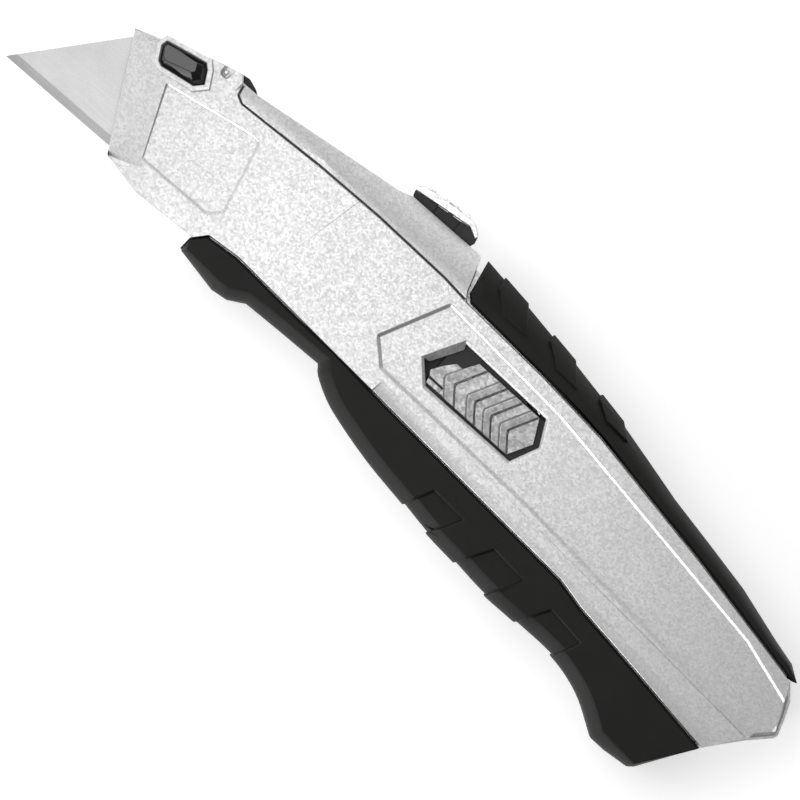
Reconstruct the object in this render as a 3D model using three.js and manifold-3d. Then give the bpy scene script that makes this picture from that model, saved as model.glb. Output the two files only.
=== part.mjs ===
// Utility knife with a retractable trapezoid blade, two cast shells, soft grips and a
// drawer of spare blades in the handle. Millimetres, +Z up.
//
// Drawing frame, used by every outline below: the blade's point is the origin, +X runs along
// the cutting edge towards the butt, +Y towards the spine, +Z out of the side with the window.
// The exported group moves it so that the origin is the centre of the footprint of the knife
// lying on its other side.

import * as THREE from 'three';
import { mergeVertices } from 'three/addons/utils/BufferGeometryUtils.js';
import Module from 'manifold-3d';

const wasm = await Module();
wasm.setup();

// ---------------------------------------------------------------- driving dimensions
const GAP = 0.3;                    // clearance between neighbouring pieces
const BODY_HALF = 11.0;             // half thickness of the silver body at the handle
const NOSE_HALF = 8.0;              // half thickness of the silver body at the nose
const GRIP_HALF = 10.6;             // half thickness of the soft grips
const CORE_HALF = 8.0;              // half thickness of the body under the soft grips
const TAPER_START = 60;             // the flat sides and the converging nose meet here
const TAPER_END = 28;
// Height of the side going forward: a soft bend from the flat into the straight taper.
const TAPER_PROFILE = [[70, 11.0], [65, 10.94], [60, 10.77], [55, 10.46], [50, 10.0625], [28, 8.0]];
const PANEL_DEPTH = 0.5;            // recess of the handle panel
const NOSE_PANEL_DEPTH = 0.4;
const GROOVE = { width: 0.42, depth: 0.45 };
const PANEL_WALL = 0.55;            // run of the sloped walls round both panels

const BLADE_LENGTH = 60;
const BLADE_HEIGHT = 18.8;
const BLADE_END_RUN = 16;           // length of each slanted end
const BLADE_HALF = 0.3;
const NOTCH_PITCH = 9.6;
const NOTCH_WIDTH = 3.2;
const NOTCH_DEPTH = 2.3;
const BLADE_TRAVEL = 28;            // extended blade to retracted blade

const CARRIER_Z = [0.6, 2.4];
const STEM = { x0: 82.3, x1: 87.2, half: 1.5 };
const NECK = { x0: 77.0, x1: 91.6, half: 2.4, base: 29.7, floor: 30.5 };

// Heights of the nose button: top, underside of the head, underside of the flange, end of
// the post, and the floor of its pocket, which leaves room for the press.
const BUTTON_TRAVEL = 1.0;
const BUTTON = { top: 9.0, shoulder: 6.2, flange: 4.9, post: 3.2, floor: 3.6 - BUTTON_TRAVEL };
const BUTTON_POST = [27.2, 21.2];
const BUTTON_SPRING = { radius: 1.7, wire: 0.2, turns: 3, height: BUTTON.flange - BUTTON.floor - 0.6 };

const LATCH_TRAVEL = 3.5;
const LATCH = { back: 6.3, face: 8.2, head: 9.3, ridge: 10.1 };
const LATCH_SPRING = { x: 107.4, y: 9.8, z: 7.6, radius: 0.85, wire: 0.18, turns: 7, length: 7.5 };
const LATCH_POCKET = [106.0, LATCH_SPRING.x + LATCH_SPRING.length + LATCH_TRAVEL + 0.6];

const DRAWER_ORIGIN = [160, 1.2];
const DRAWER_TILT = -8;             // degrees from +X
const TRAY = { front: -33.5, back: 28.2, half: 10.6, wall: 0.8, z0: -3.2, z1: 2.4 };
const SPARE_BLADES = 5;
const SPARE_PITCH = 0.9;

const SCREW = { head: 2.7, seat: 8.2, shank: 1.4, length: 13.5 };
const SCREW_PLACES = [[52, 23.2], [97, 0.9], [124.5, 17.8]];
const BOSS_RADIUS = 2.6;
const ROCKER = { arm: 1.3, lobe: 2.4 };       // half widths of the rocker's arm and black lobe
const PIN = { place: [35.3, 25.2], radius: 0.9, half: 4.4 };
const SCOOP_STUD = [34.5, 25.4];    // small stud in the scoop behind the button
const SPINE_ROUND = { radius: 9, last: 56 };      // rounding of the sides towards the spine
const SHOULDER_ROUND = { radius: 9, last: 24 };   // and towards the belly grip
const ROUND_STEP = 8;               // degrees between the facets of a rounding
const WALL_INNER = 8.7;             // inside face of the side walls
const CORE_WALL = 2.2;
const RAIL_HEIGHTS = [7.5, 17.2];   // rails that the carrier runs along
const ORIGIN_SHIFT = [-98.97, -5.07, BODY_HALF];   // puts the origin under the box's centre

// ---------------------------------------------------------------- materials
function material(color, roughness, metalness) {
  return new THREE.MeshStandardMaterial({ color, roughness, metalness });
}
const silver = material(0xd2d3d4, 0.42, 0.75);
const steel = material(0xc4c6c8, 0.25, 1.0);
const rawMetal = material(0x9b9b99, 0.45, 0.9);
const rubber = material(0x26261f, 0.75, 0.0);
const blackPlastic = material(0x161616, 0.3, 0.0);

// ---------------------------------------------------------------- solid tools
// An outline is a list of [x, y] or [x, y, r]; r rounds that corner.
function shapeOf(outline) {
  const shape = new THREE.Shape();
  outline.forEach(([x, y, r = 0], i) => {
    const corner = new THREE.Vector2(x, y);
    const before = outline[(i + outline.length - 1) % outline.length];
    const after = outline[(i + 1) % outline.length];
    const back = new THREE.Vector2(before[0], before[1]).sub(corner).normalize();
    const ahead = new THREE.Vector2(after[0], after[1]).sub(corner).normalize();
    const reach = r > 0 ? r / Math.tan(Math.acos(back.dot(ahead)) / 2) : 0;
    const start = corner.clone().addScaledVector(back, reach);
    const end = corner.clone().addScaledVector(ahead, reach);
    if (i === 0) shape.moveTo(start.x, start.y);
    else shape.lineTo(start.x, start.y);
    if (r > 0) shape.quadraticCurveTo(x, y, end.x, end.y);
  });
  shape.closePath();
  return shape;
}

function solid(geometry) {
  const bare = geometry.index ? geometry.toNonIndexed() : geometry.clone();
  bare.deleteAttribute('normal');
  bare.deleteAttribute('uv');
  const merged = mergeVertices(bare, 1e-4);
  const mesh = new wasm.Mesh({
    numProp: 3,
    vertProperties: new Float32Array(merged.attributes.position.array),
    triVerts: new Uint32Array(merged.index.array),
  });
  return new wasm.Manifold(mesh);
}

function geometryOf(body) {
  const mesh = body.getMesh();
  const geometry = new THREE.BufferGeometry();
  geometry.setAttribute('position', new THREE.BufferAttribute(new Float32Array(mesh.vertProperties), 3));
  geometry.setIndex(new THREE.BufferAttribute(new Uint32Array(mesh.triVerts), 1));
  geometry.computeVertexNormals();
  return geometry;
}

// Prism over an outline between two heights; bevel chamfers the edges of both ends.
function prismGeometry(outline, z0, z1, bevel = 0, steps = 3) {
  const geometry = new THREE.ExtrudeGeometry(shapeOf(outline), {
    depth: z1 - z0 - 2 * bevel,
    curveSegments: steps,
    bevelEnabled: bevel > 0,
    bevelThickness: bevel,
    bevelSize: bevel,
    bevelOffset: -bevel,
    bevelSegments: 1,
  });
  return geometry.translate(0, 0, z0 + bevel);
}

function prism(outline, z0, z1, bevel = 0, steps = 3) {
  return solid(prismGeometry(outline, z0, z1, bevel, steps));
}

function box(x0, x1, y0, y1, z0, z1) {
  const geometry = new THREE.BoxGeometry(x1 - x0, y1 - y0, z1 - z0);
  return solid(geometry.translate((x0 + x1) / 2, (y0 + y1) / 2, (z0 + z1) / 2));
}

// Round bar along Z; a second radius makes it a cone.
function bar(x, y, radius, z0, z1, topRadius = radius, sides = 16) {
  const geometry = new THREE.CylinderGeometry(topRadius, radius, z1 - z0, sides);
  return solid(geometry.rotateX(Math.PI / 2).translate(x, y, (z0 + z1) / 2));
}

// Everything above a plane that starts on the line a-b at height top and falls by drop
// over each run, on the left of the direction a-b.
function slopeCutter(a, b, top, drop, run, reach = 14) {
  const slope = drop / run;
  const section = [[0, top], [reach, top - slope * reach], [reach, top + 8], [-1, top + 8], [-1, top + slope]];
  const length = Math.hypot(b[0] - a[0], b[1] - a[1]);
  const geometry = prismGeometry(section, 0, length);
  const ahead = new THREE.Vector3(b[0] - a[0], b[1] - a[1], 0).normalize();
  const left = new THREE.Vector3(-ahead.y, ahead.x, 0);
  const basis = new THREE.Matrix4().makeBasis(left, new THREE.Vector3(0, 0, 1), ahead);
  basis.setPosition(a[0], a[1], 0);
  return solid(geometry.applyMatrix4(basis));
}

// Rounds the side off beyond the line a-b, on its left, in facets tangent to one arc. The
// cutters are made for a side face at height zero, and lift puts them on the real one.
function roundOff(body, a, b, { radius, last }, lift) {
  const left = new THREE.Vector2(a[1] - b[1], b[0] - a[0]).normalize();
  let result = body;
  for (let angle = ROUND_STEP; angle <= last; angle += ROUND_STEP) {
    const reach = radius * Math.tan(THREE.MathUtils.degToRad(angle / 2));
    const drop = Math.tan(THREE.MathUtils.degToRad(angle));
    const from = [a[0] + left.x * reach, a[1] + left.y * reach];
    const to = [b[0] + left.x * reach, b[1] + left.y * reach];
    result = result.subtract(lift(geometryOf(slopeCutter(from, to, 0, drop, 1))));
  }
  return result;
}

function mirrored(body) {
  const geometry = geometryOf(body).scale(1, 1, -1);
  const index = geometry.index.array;
  for (let i = 0; i < index.length; i += 3) {
    [index[i], index[i + 1]] = [index[i + 1], index[i]];
  }
  return solid(geometry);
}

// The outline moved outwards by a distance; counted anticlockwise.
function grown(outline, distance) {
  const area = outline.reduce((sum, [x, y], i) => {
    const [u, v] = outline[(i + 1) % outline.length];
    return sum + x * v - u * y;
  }, 0);
  const side = Math.sign(area) * distance;
  return outline.map(([x, y, r = 0], i) => {
    const [bx, by] = outline[(i + outline.length - 1) % outline.length];
    const [ax, ay] = outline[(i + 1) % outline.length];
    const d1 = new THREE.Vector2(x - bx, y - by).normalize();
    const d2 = new THREE.Vector2(ax - x, ay - y).normalize();
    const n1 = new THREE.Vector2(d1.y, -d1.x);
    const n2 = new THREE.Vector2(d2.y, -d2.x);
    const scale = side / (1 + n1.dot(n2));
    return [x + (n1.x + n2.x) * scale, y + (n1.y + n2.y) * scale, r];
  });
}

function strip(points, width) {
  const half = width / 2;
  const sides = [1, -1].map((sign) => points.map(([x, y], i) => {
    const [bx, by] = points[Math.max(i - 1, 0)];
    const [ax, ay] = points[Math.min(i + 1, points.length - 1)];
    const length = Math.hypot(ax - bx, ay - by);
    return [x - sign * half * (ay - by) / length, y + sign * half * (ax - bx) / length];
  }));
  return [...sides[0], ...sides[1].reverse()];
}

// ---------------------------------------------------------------- outlines
const spineBoundary = [[118.6, 21.3], [134.7, 19.7], [149.9, 16.9], [164.5, 14.3], [192.9, 8.3]];
const bellyBoundary = [[50.2, -3.4], [52.6, -0.7], [59.6, -0.1], [76.2, -1.2], [98.8, -2.8],
  [121.3, -4.4], [146.8, -6.2], [153.2, -7.7], [170.8, -10.2], [188.1, -12.9]];

const noseTop = [[15.5, 20.3], [31.1, 25.7], [34.0, 26.5], [37.2, 27.2], [38.2, 26.0], [42.0, 26.0]];
const buttLine = [[193.6, 7.0], [194.3, 4.8], [195.6, 2.3], [196.9, -1.0], [194.1, -3.9], [193.8, -5.6]];
const silverOutline = [
  ...noseTop, [74.5, 30.1, 3], [77.2, 31.0], [94.7, 30.9, 1],
  [97.0, 24.0], [98.2, 22.2], ...spineBoundary.map(([x, y]) => [x, y - GAP]), ...buttLine,
  ...[...bellyBoundary].reverse().map(([x, y]) => [x - 0.05, y + GAP]),
  [49.9, -6.0], [27.7, -1.6], [27.0, -0.8],
];
// Body under the grips; it lies inside them all round.
const coreOutline = [
  [60, 26.5], [94, 28.4], [107, 27.0], [121, 24.8], [136, 22.0], [153.5, 18.0], [174.5, 13.8],
  [186, 10.8], [191.0, 9.4], [192.6, 7.4], [187.2, -12.4], [183.0, -18.2], [178.6, -21.4, 2],
  [173.2, -21.6, 2], [167.5, -18.6], [161, -16.4], [152, -15.2], [129, -13.8], [114, -12.2],
  [104, -10.4], [93, -7.2], [86, -3.4], [66, -3.0], [61, -4.4], [53.2, -4.0], [52.6, -1.2],
];
const deepCavity = [
  [63, 1.6], [63, 21.0], [92, 21.0], [118, 18.5], [134.7, 17.0], [150, 14.2], [190, 6.6],
  [190, -10.8], [170.8, -7.6], [147, -4.2], [121.3, -2.0], [98.8, -0.4],
];
const shallowCavity = [
  [64, 24.6], [76, 27.4], [94, 26.4], [107, 25.0], [121, 22.8], [136, 20.0], [153.5, 16.0],
  [174.5, 11.8], [190, 8.0], [187.4, -10.2], [182.4, -15.6], [177.6, -19.4], [173.8, -19.5],
  [168.6, -16.8], [161.6, -14.5], [152, -13.2], [129, -11.8], [114, -10.2], [104.5, -8.5],
  [93.8, -5.4], [86.4, -1.5], [64, -1.1],
];
const nosePanel = [[26.7, 16.5], [46.0, 19.9, 2.2], [48.4, 19.8, 1.2], [52.1, 4.6, 1.4],
  [49.4, 2.1, 1.2], [32.7, 2.0]];
const handlePanel = [[89.3, 6.3, 0.8], [96.1, 20.2, 0.8], [126.0, 17.9], [181.5, 8.9], [197, 4.0],
  [197, -5.9], [175.0, -3.5], [133.3, 0.1], [94.0, 1.8, 0.8]];
const windowOutline = [[99.2, 8.9], [103.3, 16.2], [124.4, 15.4], [127.0, 10.4], [124.4, 4.7], [102.9, 5.0]];
const frontGroove = [[38.4, 26.4], [39.1, 23.6], [40.6, 22.8], [60, 23.6]];
const rearGroove = [[59, 23.58], [75, 23.7], [92, 23.1], [98.4, 22.4]];
const buttonOutline = [[22.2, 22.3], [22.0, 21.3], [23.4, 18.8], [24.3, 18.4], [31.3, 19.5],
  [32.6, 20.9], [31.3, 23.2], [30.4, 24.0]];
const blade = [
  [0, 0], [BLADE_LENGTH, 0], [BLADE_LENGTH - BLADE_END_RUN, BLADE_HEIGHT], [BLADE_END_RUN, BLADE_HEIGHT],
];
const carrierOutline = [[22.4, 19.4], [30.8, 5.0], [92.0, 5.0], [92.0, 19.4]];
const leverOutline = [[26.2, 20.0], [28.6, 20.0], [34.2, 23.4], [37.6, 24.9], [42.0, 25.8], [40.8, 26.7, 0.6],
  [38.6, 27.5, 1.0], [36.6, 27.2, 0.6], [33.8, 26.0], [27.6, 22.0]];

// ---------------------------------------------------------------- placement helpers
const taperAngle = Math.atan((BODY_HALF - NOSE_HALF) / (TAPER_START - TAPER_END));
// Puts a cutter whose zero height is the side face onto the tapered face of the nose.
function onTaper(geometry) {
  geometry.translate(-TAPER_START, 0, 0).rotateY(-taperAngle);
  return solid(geometry.translate(TAPER_START, 0, BODY_HALF));
}

function onFlat(geometry) {
  return solid(geometry.translate(0, 0, BODY_HALF));
}

// Drawer coordinates: u along the drawer's path, v across it.
const tilt = THREE.MathUtils.degToRad(DRAWER_TILT);
function inDrawer(geometry) {
  return solid(geometry.rotateZ(tilt).translate(DRAWER_ORIGIN[0], DRAWER_ORIGIN[1], 0));
}
function rectangle(x0, x1, y0, y1) {
  return [[x0, y0], [x1, y0], [x1, y1], [x0, y1]];
}
// Space that the tray and the end cap sweep when the drawer is pulled out.
const CAP = { half: 10.9, halfThickness: 8.6 };
const bayHalf = TRAY.half + GAP;
const bayDepth = -TRAY.z0 + GAP;
const drawerBay = inDrawer(prismGeometry(
  rectangle(TRAY.front - GAP, 50, -bayHalf, bayHalf), -bayDepth, bayDepth));
const capDepth = CAP.halfThickness + GAP;
const capBay = inDrawer(prismGeometry(
  rectangle(TRAY.back, 50, -CAP.half - GAP, CAP.half + GAP), -capDepth, capDepth));
const slotEnd = NECK.x1 + BLADE_TRAVEL + GAP;

// ---------------------------------------------------------------- shells
// The half on the +Z side; openings that only one side has are cut afterwards.
function plainShell() {
  let body = prism(silverOutline, 0, BODY_HALF);
  TAPER_PROFILE.slice(1).forEach(([x, z], i) => {
    const [rearX, rearZ] = TAPER_PROFILE[i];
    body = body.subtract(slopeCutter([rearX, -12], [rearX, 36], rearZ, rearZ - z, rearX - x, 80));
  });
  body = body.subtract(slopeCutter([33.2, 0.6], [24.4, 23.4], NOSE_HALF, 4.4, 8, 16));
  body = body.subtract(slopeCutter([50.4, -2.8], [24.0, -1.8], 10.1, 3.6, 3.2));
  body = roundOff(body, [50, 22.9], [100, 22.4], SPINE_ROUND, onFlat);
  body = roundOff(body, [38.2, 23.0], [62, 22.8], SPINE_ROUND, onTaper);
  body = roundOff(body, [190, -8.9], [96, 1.2], SHOULDER_ROUND, onFlat);
  body = body.subtract(onTaper(prismGeometry(nosePanel, -NOSE_PANEL_DEPTH, 4, PANEL_WALL)));
  body = body.subtract(prism(handlePanel, BODY_HALF - PANEL_DEPTH, BODY_HALF + 2, PANEL_WALL));
  body = body.subtract(prism(strip(rearGroove, GROOVE.width), BODY_HALF - GROOVE.depth - 0.2, BODY_HALF + 1));
  body = body.subtract(onTaper(prismGeometry(strip(frontGroove, GROOVE.width), -GROOVE.depth - 0.2, 4)));
  body = body.add(prism(coreOutline, 0, CORE_HALF));

  body = body.subtract(prism(deepCavity, -1, WALL_INNER));
  body = body.subtract(prism(shallowCavity, -1, CORE_HALF - CORE_WALL));
  for (const y of RAIL_HEIGHTS) {
    body = body.add(box(64, 96, y - 0.6, y + 0.6, CARRIER_Z[1] + GAP, WALL_INNER + 0.8));
  }
  for (const [x, y] of SCREW_PLACES) {
    body = body.add(bar(x, y, BOSS_RADIUS, GAP / 2, WALL_INNER + 0.3));
    body = body.subtract(bar(x, y, SCREW.shank + GAP, -1, SCREW.length - SCREW.seat + GAP));
  }
  // Channel of the blade, slot of the thumb slider, and pockets of the rocker and the detent.
  body = body.subtract(box(10, 92, -GAP, BLADE_HEIGHT + GAP, -1, BLADE_HALF + GAP));
  body = body.subtract(box(74, slotEnd, NECK.base - GAP, 33, -1, NECK.half + GAP));
  body = body.subtract(box(STEM.x0 - GAP, slotEnd, 18, 33, -1, STEM.half + GAP));
  body = body.subtract(prism(grown(leverOutline, 1.1), -1, ROCKER.arm + GAP));
  body = body.subtract(box(37.0, 43.2, 24.2, 28.5, -1, ROCKER.lobe + GAP));
  body = body.subtract(box(55, 77.5, 19, 23.2, -1, ROCKER.arm + GAP));
  return body.subtract(drawerBay).subtract(capBay);
}

function rightShell() {
  const bezel = onTaper(prismGeometry(grown(buttonOutline, 1.3), -4, 0.5));
  let body = plainShell().add(bezel);
  body = body.subtract(prism(grown(carrierOutline, GAP), -1, CARRIER_Z[1] + GAP));
  body = body.subtract(prism(grown(buttonOutline, GAP), BUTTON.floor, 12));
  body = body.subtract(prism(grown(buttonOutline, 0.6 + GAP), BUTTON.floor, BUTTON.shoulder + GAP));
  body = body.subtract(bar(...BUTTON_POST, 1.6, 0, BUTTON.floor + 0.4));
  body = body.subtract(bar(...PIN.place, PIN.radius + GAP, -1, PIN.half + GAP));
  const scoop = [[33.5, 24.5, 0.7], [35.3, 24.2, 0.6], [35.9, 28], [33.4, 28]];
  body = body.subtract(onTaper(prismGeometry(scoop, -1.3, 4, 0.3)));
  body = body.add(bar(...SCOOP_STUD, 0.55, 6.4, 8.3, 0.4));
  body = body.subtract(prism(windowOutline, 5, 12));
  return body.subtract(prism(grown(windowOutline, 1.3), 9.7, 13.3, 1.6));
}

function leftShell() {
  let body = plainShell();
  for (const [x, y] of SCREW_PLACES) {
    body = body.subtract(bar(x, y, SCREW.shank + GAP, -1, 12));
    body = body.subtract(bar(x, y, SCREW.head + GAP, SCREW.seat - GAP, 12));
  }
  body = body.subtract(bar(...PIN.place, PIN.radius + GAP, -1, PIN.half + GAP));
  return mirrored(body);
}

// ---------------------------------------------------------------- grips
function bellyGrip() {
  const outline = [[50.2, 4], [190, 4], [190, -10.0], [180.5, -24.5], [171.1, -25.2], [165.2, -21.5],
    [160.8, -19.6], [155.4, -18.2], [136.8, -17.9], [121.8, -16.5], [113.9, -15.0], [103.7, -13.3],
    [93.9, -10.8], [87.6, -8.0], [84.4, -5.3], [66.3, -5.6], [62.9, -7.6], [59.7, -8.0], [50.2, -6.2]];
  const above = [...bellyBoundary, [192, -12.9], [192, 12], [45, 12], [45, -3.4]];
  let body = prism(outline, -GRIP_HALF, GRIP_HALF, 1.8);
  body = body.subtract(prism(above, -12, 12));
  body = body.subtract(prism(grown(coreOutline, GAP), -CORE_HALF - GAP, CORE_HALF + GAP));
  const pads = [
    [[112.4, -19], [117.4, -9.2], [124.8, -9.7], [119.8, -19]],
    [[127.4, -19.6], [133.4, -10.2], [141.2, -10.9], [136.2, -19.6]],
    [[144.0, -20], [149.3, -11.7], [157.2, -12.8], [153.8, -20]],
  ];
  for (const pad of pads) {
    body = body.subtract(prism(pad, GRIP_HALF - 0.7, 12));
    body = body.subtract(prism(pad, -12, -GRIP_HALF + 0.7));
  }
  return body.subtract(drawerBay).subtract(capBay);
}

function spineGrip() {
  const outline = [[96.2, 31.2], [107.2, 30.1], [121.6, 27.7], [136.2, 24.9], [153.5, 20.0],
    [174.5, 15.8], [191.0, 11.0], [194.4, 8.6], [192, 2], [100, 12], [93.0, 16]];
  const below = [[95.3, 31.4], [97.3, 24.0], [98.5, 22.5], ...spineBoundary,
    [196, 7.9], [196, 0], [90, 0], [90, 31.4]];
  let body = prism(outline, -GRIP_HALF, GRIP_HALF, 2.4);
  body = body.subtract(prism(below, -12, 12));
  body = body.subtract(prism(grown(coreOutline, GAP), -CORE_HALF - GAP, CORE_HALF + GAP));
  body = body.subtract(box(94, 121, 24, 33, -NECK.half - 0.5, NECK.half + 0.5));
  return body.subtract(drawerBay).subtract(capBay);
}

// ---------------------------------------------------------------- blade and slider
function trapezoidBlade() {
  let body = prism(blade, -BLADE_HALF, BLADE_HALF);
  for (const sign of [-1, 1]) {
    const x = BLADE_LENGTH / 2 + sign * NOTCH_PITCH / 2;
    body = body.subtract(box(x - NOTCH_WIDTH / 2, x + NOTCH_WIDTH / 2,
      BLADE_HEIGHT - NOTCH_DEPTH, BLADE_HEIGHT + 1, -1, 1));
  }
  return body;
}

function groundBlade() {
  const grind = 1.7;
  const fall = BLADE_HALF - 0.05;
  const top = slopeCutter([BLADE_LENGTH + 1, grind], [-1, grind], BLADE_HALF, fall, grind, 3);
  return trapezoidBlade().subtract(top).subtract(mirrored(top));
}

function carrierPlate() {
  let body = prism(carrierOutline, CARRIER_Z[0], CARRIER_Z[1]);
  for (const sign of [-1, 1]) {
    const x = BLADE_LENGTH / 2 + sign * NOTCH_PITCH / 2;
    body = body.add(box(x - 1.3, x + 1.3, BLADE_HEIGHT - NOTCH_DEPTH + GAP,
      BLADE_HEIGHT, -BLADE_HALF, 1));
  }
  body = body.add(box(STEM.x0, STEM.x1, 19.3, 32.4, -STEM.half, STEM.half));
  body = body.add(box(STEM.x0, STEM.x1, 15, 19.4, CARRIER_Z[0], CARRIER_Z[1]));
  for (const x of [66, 50]) {
    body = body.subtract(prism([[x - 1.2, 20], [x, 18.6], [x + 1.2, 20]], 0, 4));
  }
  const screwHole = new THREE.CylinderGeometry(0.9, 0.9, 8, 12).translate(84.75, 31, 0);
  body = body.subtract(solid(screwHole));
  return body;
}

function sliderNeck() {
  let body = box(NECK.x0 + 0.9, NECK.x1, NECK.base, NECK.floor, -NECK.half, NECK.half);
  const front = [[NECK.x0 + 0.9, NECK.floor - 0.2], [NECK.x0, 32.1], [82.0, 32.7], [82.0, NECK.floor - 0.2]];
  const rear = [[87.5, NECK.floor - 0.2], [87.5, 33.4], [89.2, 33.6], [91.8, 33.4], [92.0, 32.0],
    [NECK.x1, NECK.floor - 0.2]];
  body = body.add(prism(front, -NECK.half, NECK.half)).add(prism(rear, -NECK.half, NECK.half));
  return body.subtract(box(STEM.x0 - GAP, STEM.x1 + GAP, 29, 34, -STEM.half - GAP, STEM.half + GAP));
}

function sliderCap() {
  const half = 5.0;
  const section = [[76.6, 32.6], [76.7, 33.5], [78.0, 34.3], [89.8, 35.2, 0.8], [91.6, 33.8],
    [89.3, 34.0], [82.1, 33.0]];
  let body = prism(section, -half, half, 0.5);
  for (const x of [79.3, 82.0, 84.9, 87.7]) {
    const y = 34.35 + (x - 78) * 0.076;
    body = body.add(box(x - 0.4, x + 0.4, y - 0.3, y + 0.25, -half + 0.9, half - 0.9));
  }
  body = body.subtract(solid(new THREE.CylinderGeometry(1.9, 1.9, 2.2, 16).translate(84.75, 35.3, 0)));
  return body.subtract(solid(new THREE.CylinderGeometry(1.1, 1.1, 8, 16).translate(84.75, 34, 0)));
}

function capScrew() {
  const head = solid(new THREE.CylinderGeometry(1.6, 1.6, 0.5, 16).translate(84.75, 34.75, 0));
  const shank = solid(new THREE.CylinderGeometry(0.6, 0.6, 6.4, 10).translate(84.75, 31.5, 0));
  const cross = box(83.7, 85.8, 34.8, 36, -0.2, 0.2).add(box(84.55, 84.95, 34.8, 36, -1.05, 1.05));
  return head.add(shank).subtract(cross);
}

function detentSpring() {
  const line = [[56, 22.4], [60, 22.0], [64.6, 20.4], [66, 19.9], [67.4, 20.4], [72, 22.0], [76.5, 22.6]];
  return prism(strip(line, 0.4), -1.2, 1.2);
}

// ---------------------------------------------------------------- nose button and rocker
function releaseButton() {
  let body = prism(buttonOutline, BUTTON.shoulder - 0.2, BUTTON.top, 0.7);
  body = body.add(prism(buttonOutline, BUTTON.shoulder - 0.2, BUTTON.top - 1.6));
  body = body.add(prism(grown(buttonOutline, 0.6), BUTTON.flange, BUTTON.shoulder));
  return body.add(bar(...BUTTON_POST, 1.0, BUTTON.post, BUTTON.flange + 0.1));
}

class Helix extends THREE.Curve {
  constructor(radius, turns, height) {
    super();
    Object.assign(this, { radius, turns, height });
  }
  getPoint(t, target = new THREE.Vector3()) {
    const angle = 2 * Math.PI * this.turns * t;
    return target.set(this.radius * Math.cos(angle), this.radius * Math.sin(angle), this.height * t);
  }
}

function coil({ radius, wire, turns }, height) {
  const section = new THREE.Shape();
  section.absarc(0, 0, wire, 0, 2 * Math.PI);
  return solid(new THREE.ExtrudeGeometry(section, {
    steps: turns * 10,
    curveSegments: 5,
    bevelEnabled: false,
    extrudePath: new Helix(radius, turns, height),
  }));
}

function releaseLever() {
  const lobe = [[37.6, 25.1], [42.0, 25.8], [40.8, 26.7, 0.6], [38.6, 27.5, 1.0], [37.4, 27.3, 0.4]];
  const body = prism(leverOutline, -ROCKER.arm, ROCKER.arm).add(prism(lobe, -ROCKER.lobe, ROCKER.lobe));
  return body.subtract(bar(...PIN.place, PIN.radius + 0.1, -3, 3));
}

function leverPin() {
  return bar(...PIN.place, PIN.radius, -PIN.half, PIN.half);
}

// ---------------------------------------------------------------- side latch
function latchSlide() {
  const base = [[102.0, 3.6], [102.0, 16.8], [119.0, 16.8], [120.0, 15.0], [128.4, 14.6], [128.4, 3.6]];
  const head = [[107.0, 15.0], [104.2, 9.4], [107.0, 5.6], [123.0, 5.4], [125.6, 10.2], [123.0, 14.8]];
  let body = prism(base, LATCH.back, LATCH.face).add(prism(head, LATCH.face - 0.2, LATCH.head));
  for (const x of [107.2, 112.3, 116.5, 120.6]) {
    const ridge = [[x + 3.0, 14.8], [x, 9.4], [x + 2.3, 5.8], [x - 0.2, 5.8], [x - 2.4, 9.4], [x + 0.2, 14.8]];
    body = body.add(prism(ridge, LATCH.head - 0.3, LATCH.ridge, 0.35));
  }
  const { y, radius, wire } = LATCH_SPRING;
  const half = radius + wire + 0.5;
  return body.subtract(box(...LATCH_POCKET, y - half, y + half, LATCH.back - 1, LATCH.head - 0.4));
}

// ---------------------------------------------------------------- spare blade drawer
function magazineTray() {
  const { front, back, half, wall, z0, z1 } = TRAY;
  const body = prism(rectangle(front, back, -half, half), z0, z1);
  return body.subtract(prism(rectangle(front + wall, back + 1, -half + wall, half - wall), z0 + wall, z1 + 1));
}

function endCap() {
  const inner = TRAY.back + GAP;
  const outline = [[inner - 3, -CAP.half], [29.1, -CAP.half], [30.1, -9.7], [32.0, -6.5], [34.6, -2.4],
    [37.7, 1.8], [37.9, 2.9], [36.3, 6.1], [34.6, 8.9], [32.4, CAP.half], [inner - 3, CAP.half]];
  const body = prism(outline, -CAP.halfThickness, CAP.halfThickness, 0.7);
  return body.subtract(box(inner - 6, inner, -12, 12, -9, 9));
}

function retainerSpring() {
  const length = 44;
  const steps = 16;
  const points = [];
  for (let i = 0; i <= steps; i += 1) {
    const t = i / steps;
    points.push([length * (t - 0.5), TRAY.z1 + 0.15 + 0.55 * Math.sin(2 * Math.PI * t) ** 2]);
  }
  return prismGeometry(strip(points, 0.25), -4, 4).rotateX(Math.PI / 2);
}

// ---------------------------------------------------------------- fasteners
function bodyScrew() {
  const { head: radius, seat, shank: shankRadius, length } = SCREW;
  const crown = bar(0, 0, radius - 0.5, -seat - 1.7, -seat - 1.1, radius);
  const head = crown.add(bar(0, 0, radius, -seat - 1.1, -seat));
  const shank = bar(0, 0, shankRadius, -seat - 0.2, length - seat, shankRadius, 12);
  const slotDepth = -seat - 0.9;
  const cross = box(-1.7, 1.7, -0.35, 0.35, -11, slotDepth).add(box(-0.35, 0.35, -1.7, 1.7, -11, slotDepth));
  return head.add(shank).subtract(cross);
}

// ---------------------------------------------------------------- assembly
function piece(parent, name, body, look) {
  const geometry = body.isBufferGeometry ? geometryOf(solid(body)) : geometryOf(body);
  const mesh = new THREE.Mesh(geometry, look);
  mesh.name = name;
  parent.add(mesh);
  return mesh;
}

const knife = new THREE.Group();
knife.position.set(...ORIGIN_SHIFT);

piece(knife, 'right_shell', rightShell(), silver);
piece(knife, 'left_shell', leftShell(), silver);
piece(knife, 'belly_grip', bellyGrip(), rubber);
piece(knife, 'spine_grip', spineGrip(), rubber);

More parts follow.
